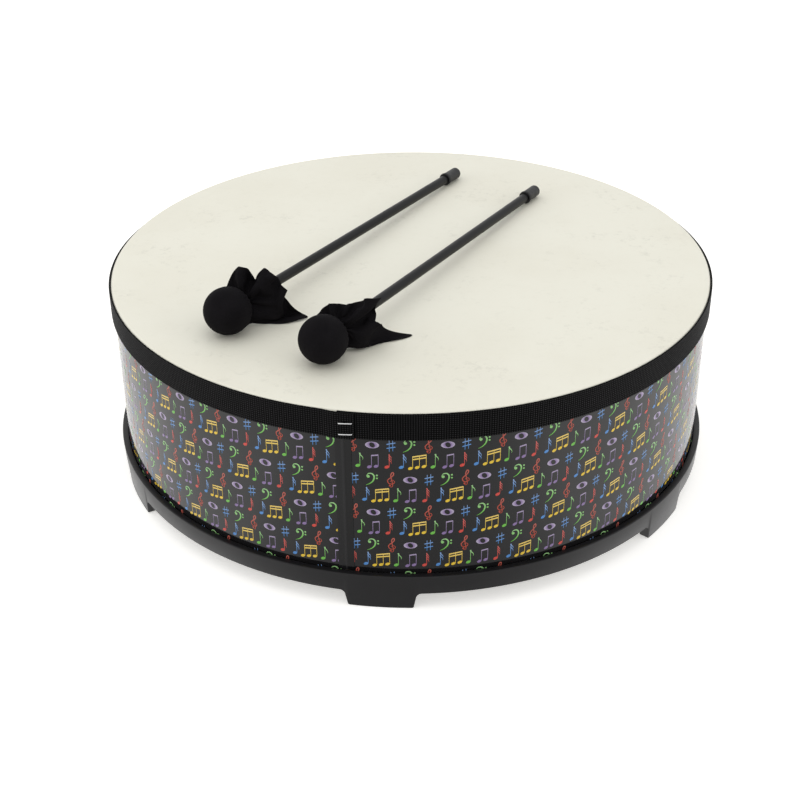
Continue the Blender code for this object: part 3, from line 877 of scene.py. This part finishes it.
def makeStaples():
    material = brightWire()
    face = bandRadius + clearance + webbing["thickness"] + clearance
    middle = staple["depth"] / 2
    corner = staple["crown"] / 2 - middle
    tip = (-corner, -staple["leg"])
    side = [tip] + fillet(tip, (-corner, middle), (0, middle), staple["bend"], 5)
    path = side + [(-across, depth) for across, depth in reversed(side)]
    turn = math.radians(jointAngle)
    for name, (rise, slant) in staple["places"].items():
        climb = math.tan(math.radians(slant))
        rows = []
        for k, (across, depth) in enumerate(path):
            ahead = Vector(path[min(k + 1, len(path) - 1)]) - Vector(path[max(k - 1, 0)])
            normal = Vector((-ahead.y, ahead.x)).normalized()
            section = []
            for a in spread(0, math.tau, 12)[:-1]:
                spot = Vector((across, depth)) + normal * squared(math.cos(a)) * staple["depth"] / 2
                reach = face + spot.y
                height = bandBottom + rise + across * climb + squared(math.sin(a)) * staple["width"] / 2
                section.append((reach * math.sin(turn) + spot.x * math.cos(turn),
                                spot.x * math.sin(turn) - reach * math.cos(turn), height))
            rows.append(section)
        mesh = meshFrom(rows, material, closedColumns=True)
        addPiece("bent_" + name, "drum", mesh, [name], 40)
    print("staples made")


# mallets: where each lies and the sizes along its rod from the ball's centre
mallets = {
    "left_mallet": {"ball": (-156.7 * mm, -143.6 * mm), "heading": 58.85},
    "right_mallet": {"ball": (-73.3 * mm, -196.0 * mm), "heading": 59.5},
}
malletSizes = {
    "ball": 20.7 * mm, "rod": 4.5 * mm, "length": 423 * mm, "tilt": 2.13, "seat": 7.7 * mm,
    "capLength": 25 * mm, "capRadius": 5.8 * mm, "capLip": 0.6 * mm, "lipWidth": 2.4 * mm, "capRound": 2 * mm,
    "capFloor": 3 * mm, "bore": 4.8 * mm, "rodRound": 0.6 * mm, "mouthRound": 0.5 * mm, "sides": 48,
}
rodLook = {
    "grain": 59.5, "dark": (0.0015, 0.0015, 0.002), "light": (0.0075, 0.0075, 0.009), "gloss": (0.36, 0.5),
}
capLook = {"dark": (0.009, 0.009, 0.010), "light": (0.019, 0.019, 0.0205), "gloss": (0.46, 0.62)}
ballLook = {"dark": (0.04, 0.04, 0.04), "light": (0.06, 0.058, 0.056), "gloss": (0.6, 0.8)}
alongRod = Matrix.Rotation(math.radians(90), 4, "Y")    # a lathe's height becomes the way along the rod


def malletPlace(name):
    # X along the rod to the handle, Y to its left and Z up, from the ball's centre
    x, y = mallets[name]["ball"]
    turn = Euler((0, math.radians(malletSizes["tilt"]), math.radians(mallets[name]["heading"])))
    spot = Vector((x, y, headTop + clearance + malletSizes["ball"]))
    return Matrix.Translation(spot) @ turn.to_matrix().to_4x4()


def fibreRod():
    material, place, feed = surface("dark_fibre_rod", Specular_IOR_Level=0.22)
    straight = place.mapped((0, 0, -math.radians(rodLook["grain"])))    # grain runs the way the rods lie
    along = straight.mapped(scale=(0.06, 1, 1))
    streak = along.noise(900.0, 4.0, 0.6)
    rub = straight.noise(55.0, 4.0, 0.65).ease(0.5, 0.75)
    feed(Base_Color=(streak * 0.7 + rub * 0.3).ease(0.25, 0.75).between(rodLook["dark"], rodLook["light"]),
         Roughness=(streak * 0.5 + rub * 0.5).ease(0.2, 0.8, *rodLook["gloss"]),
         Normal=streak.bump(0.12, 0.0002))
    return material


def capRubber():
    material, place, feed = surface("satin_black_rubber", Specular_IOR_Level=0.34)
    cloud = place.noise(120.0, 3.0)
    grain = place.noise(1800.0, 2.0)
    feed(Base_Color=cloud.between(capLook["dark"], capLook["light"]),
         Roughness=cloud.ease(0.2, 0.8, *capLook["gloss"]), Normal=grain.bump(0.2, 0.0002))
    return material


def ballRubber():
    material, place, feed = surface("ball_rubber")
    cloud = place.noise(200.0, 3.0)
    feed(Base_Color=cloud.between(ballLook["dark"], ballLook["light"]),
         Roughness=cloud.ease(0.2, 0.8, *ballLook["gloss"]))
    return material


def rodOutline(far):
    # from the seat in the ball to the end inside the cap, as (radius, way along)
    rod = malletSizes["rod"]
    seat = -malletSizes["seat"]
    end = far - malletSizes["capFloor"] - clearance
    plain = 20 * mm         # from the ends to the first edges between them
    outline = [(0, seat)] + fillet((0, seat), (rod, seat), (rod, end), malletSizes["rodRound"], 3)
    outline += [(rod, along) for along in spread(plain, end - plain, 8)]
    return outline + fillet((rod, 0), (rod, end), (0, end), malletSizes["rodRound"], 3) + [(0, end)]


def capOutline(far):
    # from the closed end over the side to the lip, then the mouth and the bore
    side = malletSizes["capRadius"]
    lip = side + malletSizes["capLip"]
    bore = malletSizes["bore"]
    mouth = far - malletSizes["capLength"]
    lipEnd = mouth + malletSizes["lipWidth"]
    floor = far - malletSizes["capFloor"]
    outline = [(0, far)] + fillet((0, far), (side, far), (side, mouth), malletSizes["capRound"], 6)
    outline += [(side, lipEnd + 2 * malletSizes["capLip"])]
    outline += fillet((side, far), (lip, lipEnd), (lip, mouth), malletSizes["capLip"], 4)
    outline += fillet((lip, far), (lip, mouth), (bore, mouth), malletSizes["mouthRound"], 4)
    return outline + [(bore, mouth), (bore, floor), (0, floor)]


def makeRods():
    rodFinish = fibreRod()
    capFinish = capRubber()
    ballFinish = ballRubber()
    sides = malletSizes["sides"]
    far = malletSizes["length"] - malletSizes["ball"]
    for name in mallets:
        place = malletPlace(name) @ alongRod
        rod = lathe(rodOutline(far), sides, rodFinish, False, place)
        addPiece(name + "_fibre_rod", name, rod, [name + "_rod"])
        cap = lathe(capOutline(far), sides, capFinish, False, place)
        addPiece(name + "_end_cap", name, cap, [name + "_cap"])
        nodes[name + "_core"].data.materials.clear()
        nodes[name + "_core"].data.materials.append(ballFinish)
    print("rods and caps made")


# mallet cloths: a stretch square over each ball, tied behind it, its loose edge in folds; lengths in mm
cloth = {
    "flat": 100, "columns": 160, "ballRows": 22, "skirtRows": 26, "tiedRows": 2, "thickness": 0.36,
    "ball": 20.5, "neck": 5.3, "tieEnd": 23.2, "neckTurn": 165, "overBall": 44,
    "pleats": 26, "pleatDepth": 0.7, "pleatStart": 100, "pleatSpan": 58, "pleatUneven": 1.7,
    # width of the gathered cloth, over tau: at the tie, its growth with the way back, and more near the tie
    "tieGirth": 6, "gather": 0.9, "bunch": 8, "bunchLength": 5,
    # how it falls, in mm and s
    "steps": 2400, "step": 0.0003, "gravity": 9810, "drag": 0.02, "topSpeed": 1500, "slip": 0.3,
    "shearGive": 2e-8, "bendGive": 1e-7,
    # fingers draw the edge to its places and hold it; gravity starts after setShare of the steps
    "hold": 0.25, "pinch": 4, "pinchFade": 2.5, "reachShare": 0.3, "setShare": 0.35, "setDrag": 0.2,
    # how far it stays off itself, the rod, the ball and the head
    "clear": 1.0, "search": 1.6, "sameFold": 2.5, "push": 0.25, "searchEvery": 12,
    "rodClear": 0.6, "ballClear": 0.9, "headClear": 0.25,
    "dark": (0.004, 0.0036, 0.0042), "light": (0.0115, 0.0105, 0.012), "gloss": (0.62, 0.8),
    "rib": 0.7 * mm, "loop": 1.0 * mm,
}
tiny = 1e-9     # keeps divisions from failing
# loose: cloth behind the tie, as (angle from the top towards the right, length)
# flare: folds that it starts from, as (angle, reach, way back); set: where fingers left it, as
# (angle, share of the loose length, (way back, right, up) from the ball's centre)
folds = {
    "left_mallet": {
        "loose": [(-50, 15), (-36, 18), (-24, 22), (-14, 26), (4, 24.8), (18, 22), (32, 30), (44, 33),
                  (60, 36), (74, 34), (88, 37), (98, 36), (105.75, 44), (112.5, 68), (117, 46), (124, 31),
                  (139, 19), (160, 17), (190, 17), (220, 18), (250, 19), (280, 18), (295, 16)],
        "flare": [(-15, 31, 4), (10, 20, 14), (32, 35, 10), (58, 36, 14), (74, 26, 21), (88, 34, 22),
                  (100, 24, 27), (112, 47, 34), (136, 27, 6), (160, 20, 3), (188, 18.5, 20), (215, 21, 13),
                  (248, 21, 23), (285, 25, 10), (312, 19, 17), (330, 25, 6)],
        "set": [(-50, 1, (22.5, -17, 10)), (-36, 1, (24.5, -15, 17)), (-24, 1, (26, -11.5, 24)),
                (-14, 1, (27, -6.5, 29.6)), (4, 1, (29, 2.5, 28.3)), (18, 1, (32, 8, 17)),
                (32, 1, (35, 14, 25.8)), (44, 1, (36, 19.5, 27.6)), (60, 1, (38, 27, 23)),
                (74, 1, (40, 28, 16.5)), (88, 1, (44, 32, 10.4)), (98, 1, (46, 27, 2)),
                (104, 0.55, (37, 30, -7)), (112, 0.45, (35, 24, -17.5)), (112, 1, (57, 42.5, -17.8)),
                (118, 1, (44, 40, -18.4)), (124, 1, (33, 26, -18.8)), (139, 1, (23, 7.5, -19.2)),
                (215, 1, (37, -10, -13)), (262, 1, (36, -17, -2))],
    },
    "right_mallet": {
        "loose": [(-68, 17), (-50, 17.3), (-30, 17.5), (-10, 16.8), (8, 17.8), (20, 21.2), (34, 31), (44, 36),
                  (55, 41), (70, 34), (86, 29), (98, 34), (105.75, 46), (112.5, 80), (117, 54), (122, 39),
                  (135, 19), (160, 17), (190, 17), (220, 18), (250, 19), (275, 18)],
        "flare": [(-22, 23, 4), (3, 18, 13), (34, 33, 17), (52, 39, 22), (72, 27, 25), (88, 30, 22),
                  (98, 24, 29), (112, 45.5, 54), (124, 27, 23), (140, 19.5, 8), (186, 18.5, 22),
                  (214, 21, 12), (247, 21, 22), (288, 25, 7), (308, 20, 15), (323, 24, 6)],
        "set": [(-68, 1, (22.5, -20.5, 8)), (-50, 1, (25.5, -17.5, 13.5)), (-30, 1, (27, -11.5, 18.6)),
                (-10, 1, (29, -4.6, 19.5)), (8, 0.95, (33.5, 2.5, 18)), (20, 0.9, (35, 6.5, 19)),
                (34, 1, (38.5, 15.5, 24.5)), (44, 1, (36.5, 24.5, 28.2)), (55, 1, (44.8, 29.6, 27.6)),
                (70, 1, (44, 23, 16)), (86, 1, (44, 24, 4)), (98, 1, (48, 27.1, 3.8)),
                (105, 1, (62, 24, -12)), (112, 0.5, (45, 20, -17.6)), (112, 1, (77, 42.5, -17.2)),
                (122, 1, (52.3, 21.9, -18.1)), (135, 1, (31, 6, -18.9)), (215, 1, (37, -10, -13)),
                (250, 1, (36, -17, -4))],
    },
}


def roundTable(marks, angles):
    # values given at some angles, filled in all the way round
    places, values = zip(*sorted((angle % 360, value) for angle, value in marks))
    return np.interp(np.degrees(angles) % 360, places, values, period=360)


def clothLinks(along, girth):
    # threads between points of the cloth as (first, second, length, give), in groups that share no point
    rows, columns = along.shape
    index = np.arange(rows * columns).reshape(rows, columns)
    shear = cloth["shearGive"]
    bend = cloth["bendGive"]
    # as (rows down, columns aside, span, give)
    kinds = [(1, 0, 1, 0.0), (0, 1, 1, 0.0), (1, 1, 1, shear), (1, -1, 1, shear)]
    kinds += [(2, 0, 2, bend), (0, 2, 2, bend), (4, 0, 4, bend), (0, 4, 4, bend)]
    links = []
    for down, side, span, give in kinds:
        near = slice(0, rows - down)
        first = index[near]
        second = np.roll(index, -side, axis=1)[down:]
        apart = np.roll(along, -side, axis=1)[down:] - along[near]
        wide = (np.roll(girth, -side, axis=1)[down:] + girth[near]) / 2 * abs(side) * math.tau / columns
        length = np.hypot(apart, wide)
        row, column = np.indices(first.shape)
        group = (row if down else column) // span % 2
        for half in (0, 1):
            links.append((first[group == half], second[group == half], length[group == half], give))
    return links


def closePairs(points, reach):
    # pairs of points nearer than reach, found through a grid of cells
    cell = np.floor(points / reach).astype(np.int64)
    cell += 1 - cell.min(axis=0)
    size = cell.max(axis=0) + 2
    key = (cell[:, 0] * size[1] + cell[:, 1]) * size[2] + cell[:, 2]
    order = np.argsort(key, kind="stable")
    found = []
    own = (0, 0, 0)
    cells = [(x, y, z) for x in (0, 1) for y in (-1, 0, 1) for z in (-1, 0, 1)]
    for x, y, z in [other for other in cells if other >= own]:      # each two cells once
        wanted = key + (x * size[1] + y) * size[2] + z
        start = np.searchsorted(key[order], wanted, "left")
        number = np.searchsorted(key[order], wanted, "right") - start
        first = np.repeat(np.arange(len(points)), number)
        step = np.arange(len(first)) - np.repeat(np.cumsum(number) - number, number)
        second = order[np.repeat(start, number) + step]
        keep = first < second if (x, y, z) == own else first != second
        found.append(np.stack([first[keep], second[keep]]))
    first, second = np.concatenate(found, axis=1)
    near = np.linalg.norm(points[first] - points[second], axis=1) < reach
    return first[near], second[near]


def flareCloth(name, angles):
    # the loose cloth as it starts, straight out from the tie: its points and their ways from the tie
    loose = roundTable(folds[name]["loose"], angles)
    loose = (np.roll(loose, 1) + 2 * loose + np.roll(loose, -1)) / 4
    slopes = [(angle, math.atan2(reach - cloth["neck"], back)) for angle, reach, back in folds[name]["flare"]]
    slope = roundTable(slopes, angles)
    along = np.linspace(0, 1, cloth["skirtRows"] + 1)[:, None] * loose
    out = cloth["neck"] + along * np.sin(slope)
    back = cloth["tieEnd"] + along * np.cos(slope)
    return np.stack([back, -out * np.sin(angles), out * np.cos(angles)], axis=2), along


def fingerHolds(name, point):
    # each fingertip's point, the points round it with their shares of its pull, where it starts and ends
    rows = cloth["skirtRows"] + 1
    columns = cloth["columns"]
    near = range(-cloth["pinch"], cloth["pinch"] + 1)
    fade = cloth["pinchFade"]
    holds = []
    for angle, share, (back, right, up) in folds[name]["set"]:
        row = round(share * (rows - 1))
        column = round(angle / 360 * columns)
        spots = []
        shares = []
        for down, side in [(down, side) for down in near for side in near]:
            if cloth["tiedRows"] <= row + down < rows:
                spots.append((row + down) * columns + (column + side) % columns)
                shares.append(math.exp(-(down / fade) ** 2 - (side / fade) ** 2))
        shares = np.array(shares)[:, None] * cloth["hold"]
        tip = row * columns + column % columns
        holds.append((tip, np.array(spots), shares, point[tip].copy(), np.array((back, -right, up))))
    return holds


def pullThreads(point, free, links):
    # draws each thread to its length, one group at a time
    for first, second, length, give in links:
        gap = point[second] - point[first]
        size = np.sqrt(np.einsum("ij,ij->i", gap, gap)) + tiny
        weight = free[first] + free[second]
        share = (size - length) / size * (weight > 0) / (weight + give / cloth["step"] ** 2 + tiny)
        pull = gap * share[:, None]
        point[first] += pull * free[first][:, None]
        point[second] -= pull * free[second][:, None]


def touchingFolds(point, turn, along, girth):
    # pairs of points that come close but are apart in the cloth
    first, second = closePairs(point, cloth["search"] * cloth["clear"])
    apart = np.abs(turn[first] - turn[second])
    apart = np.minimum(apart, math.tau - apart) * (girth[first] + girth[second]) / 2
    other = np.hypot(along[first] - along[second], apart) > cloth["sameFold"] * cloth["clear"]
    return first[other], second[other]


def pushApart(point, free, first, second):
    # moves pairs of points that are nearer than clear away from each other
    gap = point[second] - point[first]
    size = np.linalg.norm(gap, axis=1) + tiny
    push = gap * (np.maximum(cloth["clear"] - size, 0) / size * cloth["push"])[:, None]
    np.add.at(point, first, -push * free[first][:, None])
    np.add.at(point, second, push * free[second][:, None])


def keepOff(point, loose, upward):
    # moves loose points off the rod, the ball and the head, and tells how deep each was in the head
    rod = malletSizes["rod"] / mm + cloth["rodClear"]
    ball = cloth["ball"] + cloth["ballClear"]
    low = -malletSizes["ball"] / mm + cloth["headClear"]
    reach = np.hypot(point[:, 1], point[:, 2]) + tiny
    point[:, 1:] *= np.where(loose, np.maximum(rod / reach, 1), 1)[:, None]
    reach = np.linalg.norm(point, axis=1)
    point *= np.where(loose, np.maximum(ball / reach, 1), 1)[:, None]
    sunk = np.maximum(low - point @ upward, 0) * loose
    point += upward * sunk[:, None]
    return sunk


def dropCloth(name, angles):
    # the loose cloth behind the tie: starts flared, is set by the fingers and falls into its folds
    start, along = flareCloth(name, angles)
    girth = cloth["tieGirth"] + cloth["gather"] * along
    girth += cloth["bunch"] * (1 - np.exp(-along / cloth["bunchLength"]))
    links = clothLinks(along, girth)
    point = start.reshape(-1, 3)
    free = np.ones(len(point))
    free[:cloth["tiedRows"] * len(angles)] = 0
    holds = fingerHolds(name, point)
    turn = np.tile(angles, len(start))
    tilt = math.radians(malletSizes["tilt"])
    upward = np.array((-math.sin(tilt), 0, math.cos(tilt)))
    step = cloth["step"]
    speed = np.zeros_like(point)
    for count in range(cloth["steps"]):
        share = count / cloth["steps"]
        falls = share >= cloth["setShare"]
        before = point.copy()
        speed *= 1 - cloth["drag" if falls else "setDrag"]
        if falls:
            speed -= upward * cloth["gravity"] * step
        point = point + speed * step * free[:, None]
        pullThreads(point, free, links)
        # its folds push each other off every few steps; in between, points four columns apart do
        pairs = links[-1][:2]
        if count % cloth["searchEvery"] == 0:
            pairs = touchingFolds(point, turn, along.ravel(), girth.ravel())
        pushApart(point, free, *pairs)
        drawn = min(share / cloth["reachShare"], 1)
        for tip, spots, shares, began, spot in holds:
            point[spots] += shares * (began + (spot - began) * drawn - point[tip])
        sunk = keepOff(point, free > 0, upward)
        speed = (point - before) / step * free[:, None]
        speed[sunk > 0] *= cloth["slip"]
        speed *= np.minimum(1, cloth["topSpeed"] / (np.linalg.norm(speed, axis=1) + tiny))[:, None]
    return point.reshape(start.shape)


def blackKnit():
    material, place, feed = surface("black_knit", Specular_IOR_Level=0.03)
    flat = place.node("ShaderNodeUVMap", {"uv_map": "flat"})
    across, up, _ = flat.axes()
    rib = (across / cloth["rib"] * math.tau).of("SINE")
    loop = (up / cloth["loop"] * math.tau).of("SINE")
    weave = (rib * loop) * 0.5 + 0.5
    fuzz = place.noise(1400.0, 3.0, 0.6)
    patch = place.noise(70.0, 3.0)
    shade = (weave * 0.3 + fuzz * 0.4 + patch * 0.3).ease(0.3, 0.7)
    feed(Base_Color=shade.between(cloth["dark"], cloth["light"]),
         Roughness=(fuzz * 0.6 + patch * 0.4).ease(0.3, 0.7, *cloth["gloss"]),
         Normal=(weave * 0.6 + fuzz * 0.4).bump(0.35, 0.00015))
    return material


def clothOverBall(angles):
    # rows over the ball, pleated towards the tie at its back, as (points, ways from the square's middle)
    neckTurn = math.radians(cloth["neckTurn"])
    pleat = np.sin(cloth["pleats"] * angles + cloth["pleatUneven"] * np.sin(3 * angles)) * 0.5 + 0.5
    rows = []
    for turn in np.linspace(0, neckTurn, cloth["ballRows"] + 1)[1:]:
        share = (math.degrees(turn) - cloth["pleatStart"]) / cloth["pleatSpan"]
        rise = math.sin(share * math.pi) if 0 < share < 1 else 0.0
        reach = cloth["ball"] + cloth["pleatDepth"] * rise * pleat
        out = reach * math.sin(turn)
        points = np.stack([-reach * math.cos(turn), -out * np.sin(angles), out * np.cos(angles)], axis=1)
        rows.append((points, np.full(len(angles), cloth["overBall"] * turn / neckTurn)))
    return rows


def clothMesh(name, material):
    columns = cloth["columns"]
    angles = np.arange(columns) * math.tau / columns
    grid = clothOverBall(angles)
    loose = roundTable(folds[name]["loose"], angles)
    for row, points in enumerate(dropCloth(name, angles)):
        grid.append((points, cloth["overBall"] + loose * row / cloth["skirtRows"]))
    bm = bmesh.new()
    flat = bm.loops.layers.uv.new("flat")
    place = malletPlace(name)
    front = bm.verts.new(place @ Vector((-cloth["ball"] * mm, 0, 0)))
    verts = [[bm.verts.new(place @ (Vector(point) * mm)) for point in points] for points, _ in grid]

    def corner(row, column):
        around = column % columns
        return verts[row][around], column * math.tau / columns, grid[row][1][around]

    def addFace(*corners):
        face = bm.faces.new([vert for vert, _, _ in corners])
        for loop, (_, angle, way) in zip(face.loops, corners):
            loop[flat].uv = (way * mm * math.sin(angle), way * mm * math.cos(angle))

    for column in range(columns):
        ahead = column + 1
        addFace((front, column * math.tau / columns, 0), corner(0, column), corner(0, ahead))
        for row in range(len(verts) - 1):
            addFace(corner(row, column), corner(row + 1, column), corner(row + 1, ahead), corner(row, ahead))
    bmesh.ops.recalc_face_normals(bm, faces=bm.faces)
    mesh = bpy.data.meshes.new("cloth")
    bm.to_mesh(mesh)
    bm.free()
    mesh.materials.append(material)
    piece = bpy.data.objects.new("cloth", mesh)
    scene.collection.objects.link(piece)
    smooth = piece.modifiers.new("smooth", "SUBSURF")
    smooth.levels = smooth.render_levels = 1
    wall = piece.modifiers.new("wall", "SOLIDIFY")
    wall.thickness = cloth["thickness"] * mm
    wall.offset = 0
    return settle(piece)


def makeCloths():
    material = blackKnit()
    for name in mallets:
        mesh = clothMesh(name, material)
        piece = addPiece(name + "_gathered_cloth", name, mesh, [name + "_cloth"], 180)
        print(name, "cloth gathered,", len(mesh.polygons), "faces")


# ties: cord wound behind each ball, under the folds
tieCord = {
    "turns": 3, "cord": 0.42 * mm, "reach": 6.6 * mm, "start": 20.5 * mm, "width": 2.0 * mm,
    "steps": 40, "sides": 8,
    "dark": (0.004, 0.004, 0.004), "light": (0.016, 0.016, 0.017), "gloss": (0.6, 0.8),
}


def blackCord():
    material, place, feed = surface("black_cord", Specular_IOR_Level=0.2)
    ply = place.noise(2600.0, 2.0)
    feed(Base_Color=ply.between(tieCord["dark"], tieCord["light"]),
         Roughness=ply.ease(0.3, 0.7, *tieCord["gloss"]), Normal=ply.bump(0.5, 0.0002))
    return material


def makeTies():
    material = blackCord()
    sizes = {
        "Turns": float(tieCord["turns"]), "Cord": tieCord["cord"], "Reach": tieCord["reach"],
        "Width": tieCord["width"], "Steps": tieCord["steps"], "Sides": tieCord["sides"],
    }
    lying = Matrix.Translation((tieCord["start"], 0, 0)) @ alongRod
    for name in mallets:
        tree, wire = nodeTree("wound_tie", sizes)
        path = wire["Reach"].node("GeometryNodeCurveSpiral", None, {
            "Resolution": wire["Steps"], "Rotations": wire["Turns"], "Start Radius": wire["Reach"],
            "End Radius": wire["Reach"], "Height": wire["Width"]})
        section = path.node("GeometryNodeCurvePrimitiveCircle", None, {
            "Resolution": wire["Sides"], "Radius": wire["Cord"]})
        cord = path.node("GeometryNodeCurveToMesh", None, {
            "Curve": path, "Profile Curve": section, "Fill Caps": True})
        mesh = grow(tree, sizes, cord, material)
        mesh.transform(malletPlace(name) @ lying)
        addPiece(name + "_wound_tie", name, mesh, [name + "_tie"], 60)
    print("ties wound")


makeCamera()
makeStudio()
makeFootRing()
makeShell()
makeWrap()
makeStrip()
makePrint()
makeHead()
makeBand()
makeStaples()
makeRods()
makeCloths()
makeTies()
